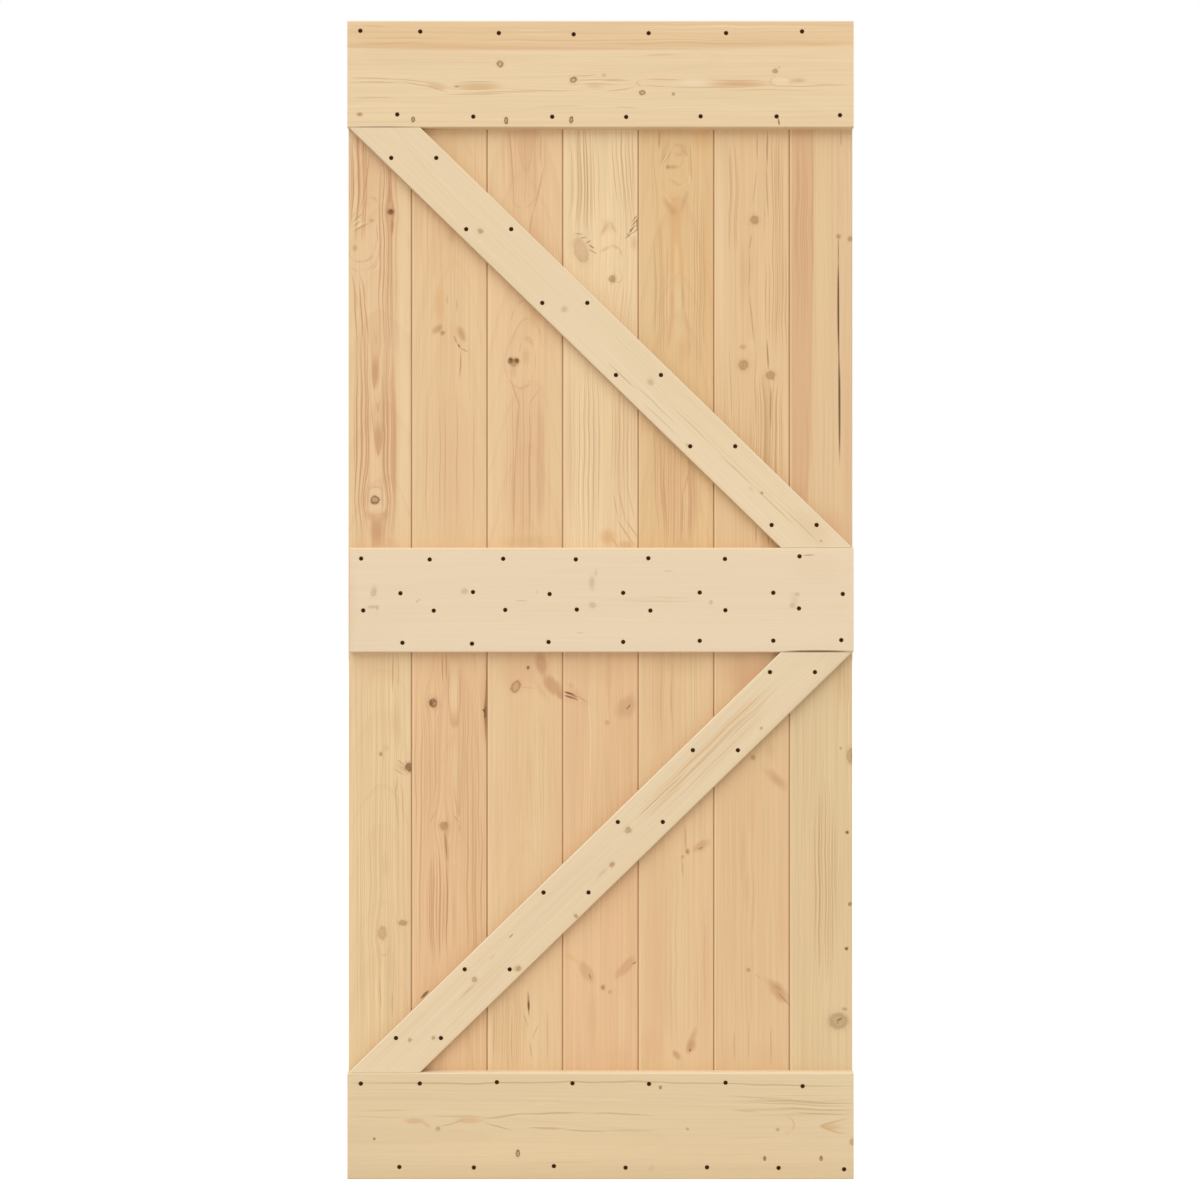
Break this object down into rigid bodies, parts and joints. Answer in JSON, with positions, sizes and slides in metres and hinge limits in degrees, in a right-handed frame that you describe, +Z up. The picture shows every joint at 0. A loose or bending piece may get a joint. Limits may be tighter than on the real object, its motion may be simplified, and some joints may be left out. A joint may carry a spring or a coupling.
{
  "type": "barn door",
  "caption": "Unfinished pine plank door leaf, tongue and groove boards behind three cross rails and two slanted braces, screwed from the front, made to hang from a sliding track.",
  "frame": {"origin": "middle of the leaf's bottom edge, on the plane where the planks meet the rails", "axes": "+Z up along the planks, +X to the right seen from the front, the front with the rails faces -Y"},
  "size_m": [0.9, 0.036, 2.06],
  "materials": {
    "board_pine": "planed, unfinished",
    "frame_pine": "planed, unfinished",
    "screw_black": "black phosphate"
  },
  "bodies": {
    "root": {"edge_board_left": "board_pine", "board_2": "board_pine", "board_3": "board_pine", "board_4": "board_pine", "board_5": "board_pine", "board_6": "board_pine", "edge_board_right": "board_pine", "top_rail": "frame_pine", "middle_rail": "frame_pine", "bottom_rail": "frame_pine", "upper_brace": "frame_pine", "lower_brace": "frame_pine", "top_rail_screws": "screw_black", "middle_rail_screws": "screw_black", "bottom_rail_screws": "screw_black", "upper_brace_screws": "screw_black", "lower_brace_screws": "screw_black"}
  },
  "joints": []
}
